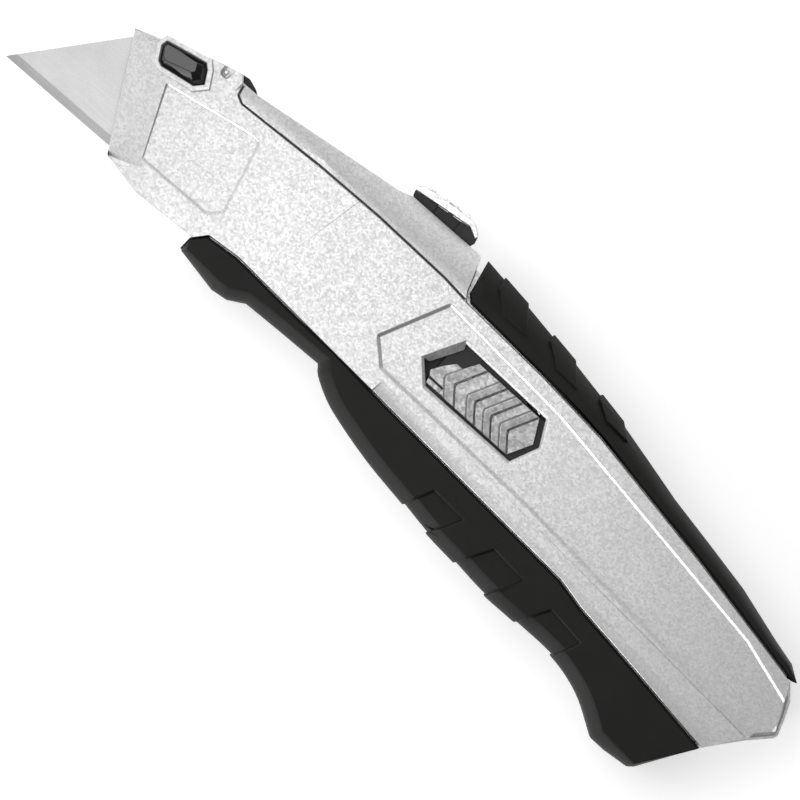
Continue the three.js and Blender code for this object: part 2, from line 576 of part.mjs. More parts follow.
const slider = new THREE.Group();
piece(slider, 'blade', groundBlade(), steel);
piece(slider, 'blade_carrier', carrierPlate(), rawMetal);
piece(slider, 'slider_neck', sliderNeck(), blackPlastic);
piece(slider, 'slider_cap', sliderCap(), silver);
piece(slider, 'cap_screw', capScrew(), steel);
knife.add(slider);
piece(knife, 'detent_spring', detentSpring(), steel);

piece(knife, 'release_button', releaseButton(), blackPlastic);
const buttonSpring = piece(knife, 'button_spring', coil(BUTTON_SPRING, BUTTON_SPRING.height), steel);
buttonSpring.position.set(...BUTTON_POST, BUTTON.floor + 0.25);
piece(knife, 'release_lever', releaseLever(), blackPlastic);
piece(knife, 'lever_pin', leverPin(), steel);

piece(knife, 'latch_slide', latchSlide(), rawMetal);
const latchSpring = piece(knife, 'latch_spring', coil(LATCH_SPRING, LATCH_SPRING.length), steel);
latchSpring.rotation.y = Math.PI / 2;
latchSpring.position.set(LATCH_SPRING.x, LATCH_SPRING.y, LATCH_SPRING.z);

const drawer = new THREE.Group();
drawer.position.set(DRAWER_ORIGIN[0], DRAWER_ORIGIN[1], 0);
drawer.rotation.z = tilt;
piece(drawer, 'magazine_tray', magazineTray(), blackPlastic);
piece(drawer, 'end_cap', endCap(), silver);
for (let i = 0; i < SPARE_BLADES; i += 1) {
  const spare = piece(drawer, `spare_blade_${i + 1}`, trapezoidBlade(), steel);
  spare.position.set(TRAY.front + 1.2, -BLADE_HEIGHT / 2, (i - (SPARE_BLADES - 1) / 2) * SPARE_PITCH);
}
piece(drawer, 'retainer_spring', retainerSpring(), steel);
knife.add(drawer);

SCREW_PLACES.forEach(([x, y], i) => {
  piece(knife, `body_screw_${i + 1}`, bodyScrew(), steel).position.set(x, y, 0);
});

export default knife;
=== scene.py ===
import math

import bmesh
import bpy
from mathutils import Matrix, Vector


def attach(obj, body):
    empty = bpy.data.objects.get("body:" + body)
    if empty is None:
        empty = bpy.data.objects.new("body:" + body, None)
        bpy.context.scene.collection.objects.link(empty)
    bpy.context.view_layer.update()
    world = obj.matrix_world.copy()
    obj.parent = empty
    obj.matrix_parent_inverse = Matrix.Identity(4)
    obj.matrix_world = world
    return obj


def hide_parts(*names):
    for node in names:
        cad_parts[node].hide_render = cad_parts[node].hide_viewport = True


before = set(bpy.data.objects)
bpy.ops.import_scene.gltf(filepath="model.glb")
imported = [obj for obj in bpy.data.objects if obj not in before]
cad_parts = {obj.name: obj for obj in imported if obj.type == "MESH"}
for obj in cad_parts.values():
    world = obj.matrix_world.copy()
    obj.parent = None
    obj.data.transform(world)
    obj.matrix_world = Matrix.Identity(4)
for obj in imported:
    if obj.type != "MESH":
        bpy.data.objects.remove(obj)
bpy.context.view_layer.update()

MM = 0.001
WIDE_FACE = 122e-6           # square metres
# The drawing frame of the knife: x from the blade's point along its edge, y towards the
# spine, z out of the side with the window, in millimetres. SHIFT takes it to the row frame.
SHIFT = Vector((-98.97, -5.07, 11.0))
SIDE = 10.6                  # half thickness over the flat of the soft grips
BRIGHT_SIDE = (-0.75, 0.3, -0.4)       # the side of the room that the light comes from
DOME = (0.05, 1.5)                      # brightness of the dome, dark side to bright side
CORE_SIDE = 8.3              # half thickness of the hollow that the grips leave for the body


def place(x, y, z=0.0):
    return (Vector((x, y, z)) + SHIFT) * MM


# ------------------------------------------------------------------ camera, floor, light
def make_camera():
    data = bpy.data.cameras.new("camera")
    data.lens = 400
    data.sensor_width = 36
    data.clip_end = 20
    camera = bpy.data.objects.new("camera", data)
    bpy.context.scene.collection.objects.link(camera)
    tilt = math.radians(41)      # the blade's edge runs down to the right at this angle
    right = Vector((math.cos(tilt), math.sin(tilt), 0))
    up = Vector((-math.sin(tilt), math.cos(tilt), 0))
    back = Vector((0, 0, 1))
    centre = place(100.9, -0.2, 5.0)
    width = 0.1538
    distance = width * data.lens / data.sensor_width
    turn = Matrix((right, up, back)).transposed().to_4x4()
    camera.matrix_world = Matrix.Translation(centre + back * distance) @ turn
    bpy.context.scene.camera = camera


def make_floor():
    bm = bmesh.new()
    bmesh.ops.create_grid(bm, x_segments=2, y_segments=2, size=3)
    mesh = bpy.data.meshes.new("floor")
    bm.to_mesh(mesh)
    bm.free()
    floor = bpy.data.objects.new("floor", mesh)
    bpy.context.scene.collection.objects.link(floor)
    floor.location.z = -0.0002
    paint = bpy.data.materials.new("floor_white")
    paint.use_nodes = True
    shader = paint.node_tree.nodes["Principled BSDF"]
    shader.inputs["Base Color"].default_value = (0.85, 0.85, 0.85, 1)
    shader.inputs["Roughness"].default_value = 0.9
    shader.inputs["Specular IOR Level"].default_value = 0.1
    shader.inputs["Emission Color"].default_value = (1, 1, 1, 1)
    shader.inputs["Emission Strength"].default_value = 0.5
    mesh.materials.append(paint)


def area_light(name, position, target, size, power):
    data = bpy.data.lights.new(name, "AREA")
    data.shape = "DISK"
    data.size = size
    data.energy = power
    light = bpy.data.objects.new(name, data)
    bpy.context.scene.collection.objects.link(light)
    light.location = position
    aim = Vector(target) - Vector(position)
    light.rotation_euler = aim.to_track_quat("-Z", "Y").to_euler()
    light.visible_camera = False


def make_light():
    """A soft dome, brighter on the side of the nose, and one soft lamp above the nose."""
    world = bpy.data.worlds.new("studio")
    world.use_nodes = True
    tree = world.node_tree
    background = tree.nodes["Background"]
    background.inputs["Color"].default_value = (1, 1, 1, 1)
    direction = tree.nodes.new("ShaderNodeTexCoord").outputs["Generated"]
    towards = tree.nodes.new("ShaderNodeVectorMath")
    towards.operation = "DOT_PRODUCT"
    towards.inputs[1].default_value = BRIGHT_SIDE
    tree.links.new(direction, towards.inputs[0])
    gradient = tree.nodes.new("ShaderNodeMapRange")
    gradient.inputs["From Min"].default_value = -0.75
    gradient.inputs["From Max"].default_value = 0.75
    gradient.inputs["To Min"].default_value = DOME[0]
    gradient.inputs["To Max"].default_value = DOME[1]
    tree.links.new(towards.outputs["Value"], gradient.inputs["Value"])
    tree.links.new(gradient.outputs["Result"], background.inputs["Strength"])
    bpy.context.scene.world = world
    area_light("key", (-0.06, -0.01, 0.34), (-0.055, 0, 0), 0.22, 0.26)
    area_light("rim", (-0.06, -0.45, 0.11), (0, 0, 0), 0.3, 1.1)
    bpy.context.scene.view_settings.view_transform = "Standard"


# ------------------------------------------------------------------ shader groups
def new_group(name, inputs, outputs):
    group = bpy.data.node_groups.new(name, "ShaderNodeTree")
    for label, default in inputs:
        socket = group.interface.new_socket(label, in_out="INPUT", socket_type="NodeSocketFloat")
        socket.default_value = default
    for label in outputs:
        group.interface.new_socket(label, in_out="OUTPUT", socket_type="NodeSocketFloat")
    start = group.nodes.new("NodeGroupInput")
    end = group.nodes.new("NodeGroupOutput")
    return group, start, end


def value_range(tree, source, low, high, to_low, to_high):
    node = tree.nodes.new("ShaderNodeMapRange")
    node.inputs["From Min"].default_value = low
    node.inputs["From Max"].default_value = high
    node.inputs["To Min"].default_value = to_low
    node.inputs["To Max"].default_value = to_high
    tree.links.new(source, node.inputs["Value"])
    return node.outputs["Result"]


def combine(tree, operation, first, second):
    node = tree.nodes.new("ShaderNodeMath")
    node.operation = operation
    for socket, value in zip(node.inputs, (first, second)):
        if isinstance(value, (int, float)):
            socket.default_value = value
        else:
            tree.links.new(value, socket)
    return node.outputs[0]


def noise(tree, vector, scale, detail=2.0, roughness=0.5):
    node = tree.nodes.new("ShaderNodeTexNoise")
    tree.links.new(vector, node.inputs["Vector"])
    if isinstance(scale, (int, float)):
        node.inputs["Scale"].default_value = scale
    else:
        tree.links.new(scale, node.inputs["Scale"])
    node.inputs["Detail"].default_value = detail
    node.inputs["Roughness"].default_value = roughness
    return node.outputs["Fac"]


def make_flake_group():
    """Metal flakes under a lacquer: a speckle, and the height of its fine texture."""
    group, start, end = new_group("metal_flake", [("Scale", 2600.0)], ["Speckle", "Height"])
    where = group.nodes.new("ShaderNodeTexCoord").outputs["Object"]
    cells = group.nodes.new("ShaderNodeTexVoronoi")
    group.links.new(where, cells.inputs["Vector"])
    group.links.new(start.outputs["Scale"], cells.inputs["Scale"])
    split = group.nodes.new("ShaderNodeSeparateColor")
    group.links.new(cells.outputs["Color"], split.inputs[0])
    soft = noise(group, where, combine(group, "MULTIPLY", start.outputs["Scale"], 0.55), 3.0, 0.65)
    mixed = combine(group, "MULTIPLY", split.outputs[0], 0.45)
    speckle = combine(group, "ADD", mixed, combine(group, "MULTIPLY", soft, 0.55))
    group.links.new(speckle, end.inputs["Speckle"])
    group.links.new(combine(group, "ADD", soft, combine(group, "MULTIPLY", split.outputs[1], 0.3)),
                    end.inputs["Height"])
    return group


def make_wear_and_highlight_group():
    """Where an edge is lightened: high on outer edges, broken up by a coarse noise; partly scuffing, partly a
    painted edge highlight.
    """
    group, start, end = new_group("edge_wear_and_highlight", [("Radius", 0.0003), ("Grain", 900.0)], ["Wear"])
    where = group.nodes.new("ShaderNodeTexCoord").outputs["Object"]
    rounded = group.nodes.new("ShaderNodeBevel")
    rounded.samples = 4
    group.links.new(start.outputs["Radius"], rounded.inputs["Radius"])
    geometry = group.nodes.new("ShaderNodeNewGeometry")
    dot = group.nodes.new("ShaderNodeVectorMath")
    dot.operation = "DOT_PRODUCT"
    group.links.new(rounded.outputs["Normal"], dot.inputs[0])
    group.links.new(geometry.outputs["Normal"], dot.inputs[1])
    bend = value_range(group, dot.outputs["Value"], 0.98, 0.80, 0.0, 1.0)
    broken = value_range(group, noise(group, where, start.outputs["Grain"], 3.0), 0.35, 0.62, 0.0, 1.0)
    # This mask paints an edge highlight along every outer edge, mixed with scuffing.
    group.links.new(combine(group, "MULTIPLY", bend, broken), end.inputs["Wear"])
    return group


def make_cloud_group():
    """A wide, faint unevenness: handling marks and dust."""
    group, start, end = new_group("handling", [("Scale", 90.0)], ["Cloud"])
    where = group.nodes.new("ShaderNodeTexCoord").outputs["Object"]
    cloud = noise(group, where, start.outputs["Scale"], 4.0, 0.6)
    group.links.new(value_range(group, cloud, 0.3, 0.7, 0.0, 1.0), end.inputs["Cloud"])
    return group


flake_group = make_flake_group()
wear_and_highlight_group = make_wear_and_highlight_group()
cloud_group = make_cloud_group()


def use_group(tree, group, **values):
    node = tree.nodes.new("ShaderNodeGroup")
    node.node_tree = group
    for label, value in values.items():
        node.inputs[label].default_value = value
    return node


def blend_colours(tree, factor, first, second):
    node = tree.nodes.new("ShaderNodeMix")
    node.data_type = "RGBA"
    tree.links.new(factor, node.inputs["Factor"])
    for socket, value in ((node.inputs["A"], first), (node.inputs["B"], second)):
        if isinstance(value, tuple):
            socket.default_value = (*value, 1)
        else:
            tree.links.new(value, socket)
    return node.outputs["Result"]


def grey(level, warm=0.0):
    return (level * (1 + warm), level, level * (1 - warm))


def new_material(name, **constants):
    material = bpy.data.materials.new(name)
    material.use_nodes = True
    tree = material.node_tree
    shader = tree.nodes["Principled BSDF"]
    for label, value in constants.items():
        shader.inputs[label.replace("_", " ")].default_value = value
    return material, tree, shader


def add_bump(tree, shader, height, strength, distance):
    bump = tree.nodes.new("ShaderNodeBump")
    bump.inputs["Strength"].default_value = strength
    bump.inputs["Distance"].default_value = distance
    tree.links.new(height, bump.inputs["Height"])
    tree.links.new(bump.outputs["Normal"], shader.inputs["Normal"])


def flaked_metal(name, dark, light, worn_and_highlit, metallic, rough, scale=2600.0, bump=0.25, cloud=0.12,
                 wear_and_highlight=0.5):
    """Cast metal or metallic paint: speckled, a little cloudy, brighter on outer edges, partly from scuffing
    and partly as a painted edge highlight.
    """
    material, tree, shader = new_material(name, Metallic=metallic)
    flake = use_group(tree, flake_group, Scale=scale)
    haze = use_group(tree, cloud_group)
    rub_and_highlight = use_group(tree, wear_and_highlight_group)
    base = blend_colours(tree, value_range(tree, flake.outputs["Speckle"], 0.25, 0.75, 0, 1),
                         grey(dark), grey(light))
    hazy = blend_colours(tree, combine(tree, "MULTIPLY", haze.outputs["Cloud"], cloud), base,
                         grey(dark * 0.8))
    # Outer edges blended towards a lighter grey: scuffed paint and a painted edge highlight.
    rubbed_and_highlit = blend_colours(tree, combine(tree, "MULTIPLY", rub_and_highlight.outputs["Wear"], wear_and_highlight), hazy,
                           grey(worn_and_highlit))
    tree.links.new(rubbed_and_highlit, shader.inputs["Base Color"])
    low, high = rough
    roughness = value_range(tree, flake.outputs["Speckle"], 0.2, 0.8, high, low)
    tree.links.new(roughness, shader.inputs["Roughness"])
    add_bump(tree, shader, flake.outputs["Height"], bump, 0.00005)
    return material


def moulded(name, base, tip, rough, grain, bump, specular, coat=0.0, warm=0.0):
    """Moulded rubber or plastic: fine grain, dusty patches, edges lighter, partly polished by handling and
    partly a painted edge highlight.
    """
    material, tree, shader = new_material(name, Specular_IOR_Level=specular)
    if coat:
        shader.inputs["Coat Weight"].default_value = coat
        shader.inputs["Coat Roughness"].default_value = 0.12
    where = tree.nodes.new("ShaderNodeTexCoord").outputs["Object"]
    fine = noise(tree, where, grain, 3.0, 0.6)
    haze = use_group(tree, cloud_group, Scale=140.0)
    rub_and_highlight = use_group(tree, wear_and_highlight_group, Radius=0.00035)
    body = blend_colours(tree, value_range(tree, fine, 0.3, 0.7, 0, 1), grey(base * 0.75, warm),
                         grey(base * 1.25, warm))
    dusty = blend_colours(tree, combine(tree, "MULTIPLY", haze.outputs["Cloud"], 0.22), body,
                          grey(tip * 0.7, warm))
    # Outer edges blended towards a lighter tone: polish from handling and a painted edge highlight.
    rubbed_and_highlit = blend_colours(tree, combine(tree, "MULTIPLY", rub_and_highlight.outputs["Wear"], 0.45), dusty,
                           grey(tip, warm))
    tree.links.new(rubbed_and_highlit, shader.inputs["Base Color"])
    low, high = rough
    tree.links.new(value_range(tree, fine, 0.3, 0.7, low, high), shader.inputs["Roughness"])
    add_bump(tree, shader, fine, bump, 0.00004)
    return material


def brushed(name, dark, light, rough, along, bump=0.12):
    """Ground or drawn steel: long fine streaks along one direction, in Object coordinates."""
    material, tree, shader = new_material(name, Metallic=1.0)
    where = tree.nodes.new("ShaderNodeTexCoord").outputs["Object"]
    mapping = tree.nodes.new("ShaderNodeMapping")
    mapping.inputs["Rotation"].default_value = (0, 0, along)
    mapping.inputs["Scale"].default_value = (60, 3200, 1400)
    tree.links.new(where, mapping.inputs["Vector"])
    streaks = noise(tree, mapping.outputs["Vector"], 1.0, 4.0, 0.6)
    haze = use_group(tree, cloud_group, Scale=120.0)
    rub_and_highlight = use_group(tree, wear_and_highlight_group, Radius=0.0002)
    streaked = blend_colours(tree, value_range(tree, streaks, 0.3, 0.7, 0, 1), grey(dark), grey(light))
    hazy = blend_colours(tree, combine(tree, "MULTIPLY", haze.outputs["Cloud"], 0.3), streaked,
                         grey(dark * 0.8))
    # Outer edges blended towards a lighter grey: scuffing and a painted edge highlight.
    rubbed_and_highlit = blend_colours(tree, combine(tree, "MULTIPLY", rub_and_highlight.outputs["Wear"], 0.5), hazy,
                           grey(min(light * 1.25, 0.95)))
    tree.links.new(rubbed_and_highlit, shader.inputs["Base Color"])
    low, high = rough
    tree.links.new(value_range(tree, streaks, 0.3, 0.7, low, high), shader.inputs["Roughness"])
    add_bump(tree, shader, streaks, bump, 0.00003)
    return material


finish = {
    "silver_paint": flaked_metal("silver_lacquer", 0.56, 0.74, 0.9, 0.65, (0.34, 0.46)),
    "thumb_silver": flaked_metal("thumb_silver", 0.58, 0.82, 0.92, 0.85, (0.26, 0.4), scale=2200.0),
    "raw_metal": flaked_metal("raw_casting", 0.34, 0.56, 0.8, 0.8, (0.36, 0.55), scale=2000.0,
                              bump=0.4),
    "soft_grip": moulded("soft_rubber", 0.0075, 0.03, (0.5, 0.66), 5200.0, 0.25, 0.22, warm=0.06),
    "gloss_black": moulded("gloss_black", 0.006, 0.05, (0.16, 0.26), 3000.0, 0.05, 0.5, coat=0.4),
    "satin_black": moulded("satin_black", 0.009, 0.05, (0.34, 0.5), 4200.0, 0.2, 0.35),
    "blade_steel": brushed("ground_steel", 0.28, 0.4, (0.22, 0.34), math.radians(90)),
    "spring_steel": brushed("drawn_steel", 0.42, 0.6, (0.24, 0.36), 0.0),
    "screw_steel": brushed("turned_steel", 0.4, 0.58, (0.26, 0.4), math.radians(35)),
}


# ------------------------------------------------------------------ mesh tools
def new_piece(name, bm):
    mesh = bpy.data.meshes.new(name)
    bm.to_mesh(mesh)
    bm.free()
    piece = bpy.data.objects.new(name, mesh)
    bpy.context.scene.collection.objects.link(piece)
    return piece


def extruded(bm, face, step, first=True):
    """Extrudes one face by a step, and gives the new face; only the first one stays behind."""
    made = bmesh.ops.extrude_face_region(bm, geom=[face])["geom"]
    verts = [item for item in made if isinstance(item, bmesh.types.BMVert)]
    bmesh.ops.translate(bm, verts=verts, vec=step)
    if not first:
        bmesh.ops.delete(bm, geom=[face], context="FACES_ONLY")
    return [item for item in made if isinstance(item, bmesh.types.BMFace)][0]


def prism(name, outline, z0, z1):
    """Prism over an outline of the drawing frame."""
    bm = bmesh.new()
    base = bm.faces.new([bm.verts.new(place(x, y, z0)) for x, y in outline])
    extruded(bm, base, Vector((0, 0, (z1 - z0) * MM)))
    bmesh.ops.recalc_face_normals(bm, faces=bm.faces)
    return new_piece(name, bm)


def flared(name, outline, low, high, grow):
    """A plug over an anticlockwise outline, wider at the high end."""
    bm = bmesh.new()
    spots = [Vector(spot) for spot in outline]
    wide = [spot - into * grow for spot, into in zip(spots, inward(outline))]
    foot = [bm.verts.new(place(spot.x, spot.y, low)) for spot in spots]
    head = [bm.verts.new(place(spot.x, spot.y, high)) for spot in wide]
    bm.faces.new(foot)
    bm.faces.new(head)
    for k in range(len(foot)):
        after = (k + 1) % len(foot)
        bm.faces.new([foot[k], foot[after], head[after], head[k]])
    bmesh.ops.recalc_face_normals(bm, faces=bm.faces)
    return new_piece(name, bm)


def inward(outline):
    """The direction into an anticlockwise outline at each of its corners."""
    ahead = outline[1:] + outline[:1]
    behind = outline[-1:] + outline[:-1]
    directions = []
    for here, before, after in zip(outline, behind, ahead):
        first = (Vector(here) - Vector(before)).normalized()
        second = (Vector(after) - Vector(here)).normalized()
        along = (first + second).normalized()
        directions.append(Vector((-along.y, along.x)))
    return directions


def rounded_slab(name, outline, reach, profile, grow=0.0, side=0.0, slide=None):
    """A slab over an outline, drawn in towards both sides as the profile says.

    profile is a list of (height, inset) from the rim to the side; reach scales the inset at
    each corner, and grow moves the outline outwards where reach isn't zero. slide is the way
    in from the last corner, where it has to run along the next edge."""
    heights = [(z + side, inset) for z, inset in profile]
    layers = [(-z, inset) for z, inset in reversed(heights)] + heights
    directions = inward(outline)
    if slide:
        directions[-1] = Vector(slide).normalized()

    def corners(z, inset):
        for (x, y), into, share in zip(outline, directions, reach):
            move = into * (inset * share - (grow if share > 0 else 0))
            yield place(x + move.x, y + move.y, z)

    bm = bmesh.new()
    ring = [bm.verts.new(corner) for corner in corners(*layers[0])]
    face = bm.faces.new(ring)
    for number, layer in enumerate(layers[1:]):
        face = extruded(bm, face, Vector((0, 0, 0.1 * MM)), number == 0)
        fresh = set(face.verts)
        ring = [next(edge.other_vert(vert) for edge in vert.link_edges
                     if edge.other_vert(vert) in fresh) for vert in ring]
        for vert, corner in zip(ring, corners(*layer)):
            vert.co = corner
    bmesh.ops.recalc_face_normals(bm, faces=bm.faces)
    return new_piece(name, bm)


def curve(points, steps=3):
    """Extra points on a smooth line through the given ones."""
    spots = [Vector(point) for point in points]
    padded = [2 * spots[0] - spots[1]] + spots + [2 * spots[-1] - spots[-2]]
    line = []
    for before, here, after, beyond in zip(padded, padded[1:], padded[2:], padded[3:]):
        for step in range(steps):
            t = step / steps
            bend = (2 * here + (after - before) * t + (2 * before - 5 * here + 4 * after - beyond) * t ** 2
                    + (3 * here - before - 3 * after + beyond) * t ** 3)
            line.append(tuple(bend / 2))
    return line + [tuple(spots[-1])]


def bake_modifiers(piece):
    bpy.context.view_layer.update()
    graph = bpy.context.evaluated_depsgraph_get()
    result = bpy.data.meshes.new_from_object(piece.evaluated_get(graph))
    piece.modifiers.clear()
    old = piece.data
    piece.data = result
    bpy.data.meshes.remove(old)


def carve(piece, cutter, operation="DIFFERENCE"):
    """One boolean step, applied at once; the cutter is used up."""
    step = piece.modifiers.new("carve", "BOOLEAN")
    step.operation = operation
    step.solver = "EXACT"
    step.object = cutter
    bake_modifiers(piece)
    bpy.data.objects.remove(cutter)


def clean(piece, weld=0.02, flat=0.5):
    bm = bmesh.new()
    bm.from_mesh(piece.data)
    bmesh.ops.remove_doubles(bm, verts=bm.verts, dist=weld * MM)
    bmesh.ops.dissolve_limit(bm, angle_limit=math.radians(flat), verts=bm.verts, edges=bm.edges)
    bmesh.ops.dissolve_degenerate(bm, edges=bm.edges, dist=weld * MM)
    bmesh.ops.recalc_face_normals(bm, faces=bm.faces)
    bm.to_mesh(piece.data)
    bm.free()


def soften(piece, width, segments=2, bevel_from=28, smooth_to=10):
    """Small rounded edges, then smooth shading across gentle steps; wide faces stay flat."""
    edge = piece.modifiers.new("edges", "BEVEL")
    edge.width = width * MM
    edge.segments = segments
    edge.limit_method = "ANGLE"
    edge.angle_limit = math.radians(bevel_from)
    edge.use_clamp_overlap = False
    bake_modifiers(piece)
    bm = bmesh.new()
    bm.from_mesh(piece.data)
    for face in bm.faces:
        face.smooth = face.calc_area() < WIDE_FACE and abs(face.normal.z) < 0.9995
    for edge in bm.edges:
        edge.smooth = edge.calc_face_angle(0) < math.radians(smooth_to)
    many_sided = [face for face in bm.faces if len(face.verts) > 4 and abs(face.normal.z) > 0.999]
    bmesh.ops.triangulate(bm, faces=many_sided, quad_method="BEAUTY", ngon_method="BEAUTY")
    bm.to_mesh(piece.data)
    bm.free()


def enrol(piece, body, node, slot):
    piece.data.materials.clear()
    piece.data.materials.append(finish[slot])
    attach(piece, body)
    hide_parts(node)


def refined(node, name, body, slot, width, segments=2, weld=0.03, smooth_to=10):
    """A copy of a CAD node, merged into clean faces, with softened edges."""
    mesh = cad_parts[node].data.copy()
    piece = bpy.data.objects.new(name, mesh)
    bpy.context.scene.collection.objects.link(piece)
    clean(piece, weld)
    soften(piece, width, segments, smooth_to=smooth_to)
    enrol(piece, body, node, slot)
    return piece


# ------------------------------------------------------------------ outlines
CORE = [
    (60, 26.5), (94, 28.4), (107, 27.0), (121, 24.8), (136, 22.0), (153.5, 18.0), (174.5, 13.8),
    (186, 10.8), (191.0, 9.4), (192.6, 7.4), (187.2, -12.4), (183.0, -18.2), (178.6, -21.4),
    (173.2, -21.6), (167.5, -18.6), (161, -16.4), (152, -15.2), (129, -13.8), (114, -12.2),
    (104, -10.4), (93, -7.2), (86, -3.4), (66, -3.0), (61, -4.4), (53.2, -4.0), (52.6, -1.2),
]
BELLY_EDGE = [
    (50.2, -3.4), (52.6, -0.7), (59.6, -0.1), (76.2, -1.2), (84.8, -1.4), (98.8, -2.8), (121.3, -4.4),
    (146.8, -6.2), (153.2, -7.7), (170.8, -10.2), (188.1, -12.9),
]
SPINE_EDGE = [
    (97.6, 24.0), (98.9, 22.6), (118.6, 21.3), (134.7, 19.7), (149.9, 16.9), (164.5, 14.3), (192.9, 8.3),
]
BELLY_ROUND = [(6.4, 0), (7.9, 0.35), (9.0, 0.95), (9.9, 1.75), (10.4, 2.35), (SIDE, 2.7)]
SPINE_RADIUS = 9.0
TAPER = [(28, 8), (50, 10.0625), (55, 10.46), (60, 10.77), (65, 10.94), (70, 11)]


def spine_round():
    """Edge of the slab up to its side: an arc of 56 degrees, as the silver body has beside it."""
    last = math.radians(56)
    full = SPINE_RADIUS * math.sin(last)
    profile = []
    for step in range(8):
        angle = last * (1 - step / 7)
        profile.append((SIDE - SPINE_RADIUS * (1 - math.cos(angle)),
                        full - SPINE_RADIUS * math.sin(angle)))
    return profile, full


# ------------------------------------------------------------------ grips
def shadow_gap(grip, edge, above, below):
    """Sinks a narrow strip of the grip along the edge where it meets the body."""
    strip = [(x, y - below) for x, y in edge] + [(x, y + above) for x, y in reversed(edge)]
    carve(grip, prism("gap", strip, 9.5, 12))
    carve(grip, prism("gap", strip, -12, -9.5))


def hollow_for_body(grip):
    """Takes the body under the grip and the drawer's bay out of it."""
    carve(grip, prism("core", CORE, -CORE_SIDE, CORE_SIDE))
    tilt = math.radians(-8)
    for near, far, half, depth in ((126, 215, 10.9, 3.5), (188.2, 215, 11.2, 8.9)):
        corners = [(near - 160, -half), (far - 160, -half), (far - 160, half), (near - 160, half)]
        turned = [(160 + u * math.cos(tilt) - v * math.sin(tilt),
                   1.2 + u * math.sin(tilt) + v * math.cos(tilt)) for u, v in corners]
        carve(grip, prism("bay", turned, -depth, depth))


def make_belly_grip():
    lower = curve([(84.4, -5.3), (85.9, -7.0), (89.5, -9.1), (93.9, -10.8), (103.7, -13.3), (113.9, -15.0),
                   (121.8, -16.4), (129.1, -17.1), (136.8, -18.0), (144.4, -18.1), (152.0, -18.2),
                   (156.4, -18.6), (160.8, -19.7), (165.2, -21.5), (171.1, -25.2)])
    front = [(50.2, -6.1), (59.7, -8.0), (62.9, -7.6), (66.3, -5.7), (75.0, -5.45)]
    rear = [(174.5, -25.3), (179.9, -24.8), (181.0, -23.9)]
    upper = list(reversed(BELLY_EDGE))
    outline = front + lower + rear + upper
    reach = [0.9] * len(front) + [1.0] * len(lower) + [0.9, 0.6, 0.25] + [0.0] * len(upper)
    reach[0] = 0.5
    grip = rounded_slab("belly_rubber", outline, reach, BELLY_ROUND)
    sunk = rounded_slab("sunk", outline, reach, BELLY_ROUND, grow=-0.45, side=-0.65)
    carve(sunk, prism("trim", [(108, -30), (162, -30), (162, -9.0), (108, -6.0)], -12, 12), "INTERSECT")
    pads = [
        [(112.4, -19), (120.0, -19), (124.8, -9.7), (117.4, -9.2)],
        [(127.2, -20.2), (136.6, -20.2), (141.2, -10.9), (133.4, -10.2)],
        [(143.6, -21), (154.0, -21), (157.2, -12.8), (149.3, -11.7)],
    ]
    for pad in pads:
        carve(grip, prism("pad", pad, -12, 12))
    carve(grip, sunk, "UNION")
    for pad in pads:
        for side in (1, -1):
            carve(grip, flared("slope", pad, side * (SIDE - 0.62), side * (SIDE + 0.08), 0.55))
    shadow_gap(grip, BELLY_EDGE, 0.8, 0.45)
    hollow_for_body(grip)
    clean(grip)
    soften(grip, 0.17, bevel_from=32, smooth_to=20)
    enrol(grip, "handle", "belly_grip", "soft_grip")


def make_spine_grip():
    silhouette = [(194.2, 8.7), (191.0, 10.9), (185.7, 12.3), (174.5, 15.7), (164.0, 17.9), (153.5, 20.0),
                  (145.0, 22.2), (136.3, 24.4), (128.4, 25.9), (121.6, 27.2), (114.2, 28.4),
                  (107.6, 29.5), (100.9, 30.4), (96.2, 31.1)]
    profile, full = spine_round()
    outline = SPINE_EDGE + silhouette
    widths = [0.3, 0.9, 1.5, 2.4, 2.8, 3.2, 3.8, 4.4, 4.9, 5.5, 6.1, 6.5, 6.8, 6.6]
    reach = [0.0] * len(SPINE_EDGE) + [width / full for width in widths]
    front = (0.2, -0.98)
    grip = rounded_slab("spine_rubber", outline, reach, profile, slide=front)
    proud = rounded_slab("proud", outline, reach, profile, grow=0.5, side=0.3, slide=front)
    pads = [
        [(100.4, 34), (100.9, 30.0), (101.2, 28.6), (105.4, 25.0), (111.1, 25.0), (107.4, 30.1), (106.9, 34)],
        [(114.6, 32), (115.3, 27.3), (119.8, 24.0), (125.2, 23.7), (121.4, 27.8), (121.0, 32)],
        [(128.8, 30), (129.8, 25.1), (133.5, 22.8), (139.2, 22.4), (136.0, 25.0), (135.4, 30)],
    ]
    for pad in pads:
        arrow = prism("arrow", list(reversed(pad)), -12, 12)
        copy = bpy.data.objects.new("proud_copy", proud.data.copy())
        bpy.context.scene.collection.objects.link(copy)
        carve(arrow, copy, "INTERSECT")
        carve(grip, arrow, "UNION")
    bpy.data.objects.remove(proud)
    shadow_gap(grip, SPINE_EDGE, 0.45, 0.8)
    hollow_for_body(grip)
    carve(grip, prism("slot", [(90, 24), (121, 24), (121, 34), (90, 34)], -2.9, 2.9))
    clean(grip)
    soften(grip, 0.17, bevel_from=32, smooth_to=20)
    enrol(grip, "handle", "spine_grip", "soft_grip")


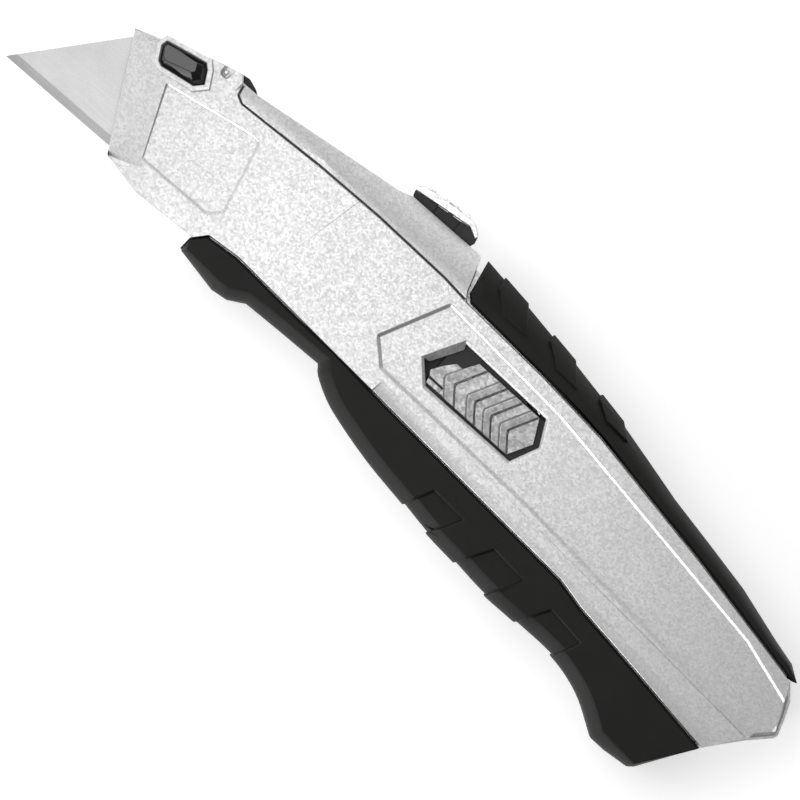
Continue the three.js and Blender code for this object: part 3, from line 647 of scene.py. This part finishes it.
# ------------------------------------------------------------------ side latch
def stepped_ridge(name, stations, low):
    """A ridge across the head: its top runs through stations of (knee, height)."""
    bent = [(3.57, 16.0), (0.3, 9.75), (0.0, 9.1), (0.3, 8.4), (3.3, 4.6)]
    bm = bmesh.new()
    tops = [[bm.verts.new(place(knee + x, y, height)) for x, y in bent] for knee, height in stations]
    feet = [[bm.verts.new(place(knee + x, y, low)) for x, y in bent] for knee, _ in stations]
    for layer in (tops, feet):
        for here, beyond in zip(layer, layer[1:]):
            for k in range(len(bent) - 1):
                bm.faces.new([here[k], here[k + 1], beyond[k + 1], beyond[k]])
    for k in range(len(bent) - 1):
        bm.faces.new([tops[0][k], tops[0][k + 1], feet[0][k + 1], feet[0][k]])
        bm.faces.new([tops[-1][k], tops[-1][k + 1], feet[-1][k + 1], feet[-1][k]])
    for end in (0, -1):
        for k in range(len(stations) - 1):
            bm.faces.new([tops[k][end], tops[k + 1][end], feet[k + 1][end], feet[k][end]])
    bmesh.ops.recalc_face_normals(bm, faces=bm.faces)
    return new_piece(name, bm)


def make_latch():
    """A dark plate that runs behind the wall, a thin black sheet under the window as painted shade of the
    hollow behind it, and a cast head with a tongue and four ridges.
    """
    middle = [(102.0, 3.6), (128.4, 3.6), (128.4, 14.9), (120.0, 15.2), (119.2, 16.8), (102.0, 16.8)]
    plate = prism("latch_plate", middle, 6.3, 8.0)
    soften(plate, 0.2)
    enrol(plate, "latch", "latch_slide", "satin_black")
    # Thin black sheet under the window: painted shade where the gaps round the latch look into the body.
    shadow_sheet = prism("window_shadow_sheet", [(99.5, 8.9), (102.9, 5.2), (124.3, 4.9), (126.8, 10.4), (124.3, 15.2),
                                (103.3, 16.0)], 5.03, 5.2)
    enrol(shadow_sheet, "handle", "right_shell", "satin_black")
    outline = [(107.9, 15.05), (104.2, 9.3), (104.4, 8.5), (106.9, 5.5), (123.2, 5.25), (125.8, 10.1),
               (123.4, 14.75)]
    head = prism("latch_head", [(103, 4.5), (127, 4.5), (127, 16), (103, 16)], 7.9, 9.1)
    carve(head, stepped_ridge("ridge", [(103.9, 9.2), (104.7, 10.0), (106.8, 9.9)], 8.4), "UNION")
    for drop, front, rear in ((106.8, 110.3, 111.9), (111.9, 114.5, 116.0), (116.0, 118.6, 120.2)):
        stations = [(drop - 0.3, 8.8), (front - 0.45, 9.4), (front, 10.0), (rear, 9.9)]
        carve(head, stepped_ridge("ridge", stations, 8.4), "UNION")
    for drop in (106.8, 111.9, 116.0, 120.2):
        carve(head, stepped_ridge("undercut", [(drop + 0.02, 11.0), (drop + 0.34, 11.0)], 8.2))
    carve(head, prism("outline", outline, 7.0, 11.0), "INTERSECT")
    tongue = prism("tongue", [(102.0, 7.2), (102.4, 5.6), (110.0, 5.6), (110.0, 12.2), (104.6, 12.2),
                              (103.0, 10.4), (101.4, 8.0)], 7.9, 8.6)
    carve(tongue, prism("slot", [(100, 6.7), (105.8, 6.55), (105.8, 6.95), (100, 7.1)], 8.0, 9))
    carve(head, tongue, "UNION")
    clean(head)
    soften(head, 0.1)
    enrol(head, "latch", "latch_slide", "raw_metal")


def make_window_lip():
    """The long sloping lip of the window, at the end towards the nose."""
    lip = hull("window_lip", [
        (98.75, 8.8, 10.3), (103.2, 16.75, 10.3), (103.9, 15.2, 9.05), (100.3, 9.1, 9.05),
        (98.75, 8.8, 8.8), (103.2, 16.75, 8.8), (103.9, 15.2, 8.8), (100.3, 9.1, 8.8)])
    soften(lip, 0.06)
    enrol(lip, "handle", "right_shell", "silver_paint")


# ------------------------------------------------------------------ nose, painted groove shadow and thumb slide
def make_groove_shadow():
    """A satin black strip along the floor of the groove between the side and the rounded spine of the body: a
    painted shadow line in the groove.
    """
    path = [(38.75, 25.6), (39.1, 23.7), (40.6, 22.85), (50, 23.19), (55, 23.39), (59.5, 23.58), (75, 23.7),
            (92, 23.1), (97.6, 22.5)]
    half = 0.13
    bm = bmesh.new()
    rings = []
    for here, before, after in zip(path, path[:1] + path[:-1], path[1:] + path[-1:]):
        along = (Vector(after) - Vector(before)).normalized()
        across = Vector((-along.y, along.x)) * half
        top = side_height(here[0]) - 0.2
        corners = [(across, top), (-across, top), (-across, top - 0.22), (across, top - 0.22)]
        rings.append([bm.verts.new(place(here[0] + step.x, here[1] + step.y, z)) for step, z in corners])
    bm.faces.new(rings[0])
    bm.faces.new(rings[-1])
    for ring, beyond in zip(rings, rings[1:]):
        for k in range(4):
            bm.faces.new([ring[k], ring[(k + 1) % 4], beyond[(k + 1) % 4], beyond[k]])
    bmesh.ops.recalc_face_normals(bm, faces=bm.faces)
    # The black strip is painted shadow at the bottom of the groove.
    enrol(new_piece("groove_shadow_strip", bm), "handle", "right_shell", "satin_black")


def side_height(x):
    """Height of the near side: flat over the handle, falling towards the nose."""
    for (x0, z0), (x1, z1) in zip(TAPER, TAPER[1:]):
        if x <= x1:
            return z0 + (z1 - z0) * (x - x0) / (x1 - x0)
    return TAPER[-1][1]


def hull(name, points):
    bm = bmesh.new()
    for point in points:
        bm.verts.new(place(*point))
    bmesh.ops.convex_hull(bm, input=bm.verts)
    bmesh.ops.recalc_face_normals(bm, faces=bm.faces)
    piece = new_piece(name, bm)
    clean(piece)
    return piece


def make_button():
    """The release button: its stem and flange as drawn, its head cut with broad, uneven facets."""
    button = bpy.data.objects.new("nose_button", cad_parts["release_button"].data.copy())
    bpy.context.scene.collection.objects.link(button)
    clean(button)
    carve(button, prism("above", [(15, 12), (40, 12), (40, 30), (15, 30)], 6.9, 12))
    foot = [(22.2, 22.3), (22.0, 21.3), (23.4, 18.8), (24.3, 18.4), (31.3, 19.5), (32.6, 20.9), (31.3, 23.2),
            (30.4, 24.0)]
    crown = [(22.6, 22.1), (22.4, 21.4), (23.4, 19.7), (24.2, 19.45), (29.3, 20.9), (29.9, 21.6), (29.2, 23.1)]
    head = hull("head", [(*spot, 6.6) for spot in foot] + [(*spot, 7.7) for spot in foot]
                + [(*spot, 9.0) for spot in crown])
    carve(button, head, "UNION")
    clean(button)
    soften(button, 0.12)
    enrol(button, "button", "release_button", "gloss_black")


def circle(x, y, radius, count=16):
    angles = [2 * math.pi * k / count for k in range(count)]
    return [(x + radius * math.cos(a), y + radius * math.sin(a)) for a in angles]


def upright(name, x, radius, low, high):
    """A round post along y, centred on the middle plane."""
    bm = bmesh.new()
    middle = Matrix.Translation(place(x, (low + high) / 2))
    bmesh.ops.create_cone(bm, cap_ends=True, segments=24, radius1=radius * MM, radius2=radius * MM,
                          depth=(high - low) * MM, matrix=middle @ Matrix.Rotation(math.radians(90), 4, "X"))
    return new_piece(name, bm)


def make_thumb_slide():
    """Black blocks before and behind the metal stem, black webs beside it whose black is painted shade under
    the cap, and the bright cap with its four ribs.
    """
    base = prism("thumb_base", [
        (77.9, 29.7), (91.6, 29.7), (91.6, 30.9), (92.0, 32.0), (91.7, 33.2), (89.2, 33.75), (87.1, 33.45),
        (87.3, 30.5), (82.1, 30.5), (82.0, 32.95), (76.6, 32.3), (76.9, 31.3), (77.9, 30.5)], -2.4, 2.4)
    carve(base, prism("hole", [(82.0, 29), (87.45, 29), (87.45, 33), (82.0, 33)], -1.8, 1.8))
    clean(base)
    soften(base, 0.12)
    enrol(base, "slider", "slider_neck", "satin_black")
    # The satin black of the webs is painted shade: the stem's sides lie in the shade of the cap.
    for side, low, high in (("near", 1.7, 2.1), ("far", -2.1, -1.7)):
        shaded_web = prism("thumb_web_painted_shade_" + side, [(82.0, 30.7), (87.3, 30.7), (87.1, 33.4), (82.0, 32.9)], low, high)
        soften(shaded_web, 0.08)
        enrol(shaded_web, "slider", "slider_neck", "satin_black")
    cap = prism("thumb_cap", [(76.6, 32.4), (82.1, 33.05), (89.2, 33.85), (91.4, 32.7), (91.7, 33.4),
                              (89.9, 34.75), (88.6, 34.95), (84.3, 34.75), (77.8, 34.1), (76.65, 33.3)], -5, 5)
    for x, y in ((79.5, 34.35), (82.2, 34.6), (84.9, 34.8), (87.7, 35.0)):
        carve(cap, prism("rib", circle(x, y, 0.48), -4.3, 4.3), "UNION")
    carve(cap, upright("seat", 84.75, 1.9, 34.2, 37.0))
    carve(cap, upright("through", 84.75, 1.1, 30.0, 35.0))
    clean(cap)
    soften(cap, 0.1, smooth_to=25)
    enrol(cap, "slider", "slider_cap", "thumb_silver")


make_camera()
make_floor()
make_light()
refined("right_shell", "right_casting", "handle", "silver_paint", 0.14)
refined("left_shell", "left_casting", "handle", "silver_paint", 0.14)
refined("end_cap", "butt_cap", "drawer", "silver_paint", 0.2)
make_belly_grip()
make_spine_grip()
make_latch()
make_window_lip()
make_groove_shadow()
make_button()
make_thumb_slide()
refined("release_lever", "lever", "rocker", "satin_black", 0.15, smooth_to=25)

INNER_FINISH = {
    "blade": "blade_steel", "spare_blade": "blade_steel", "blade_carrier": "raw_metal",
    "cap_screw": "screw_steel", "body_screw": "screw_steel", "magazine_tray": "satin_black",
}
for name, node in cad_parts.items():
    kind = name.rstrip("_0123456789")
    node.data.materials.clear()
    node.data.materials.append(finish[INNER_FINISH.get(kind, "spring_steel")])
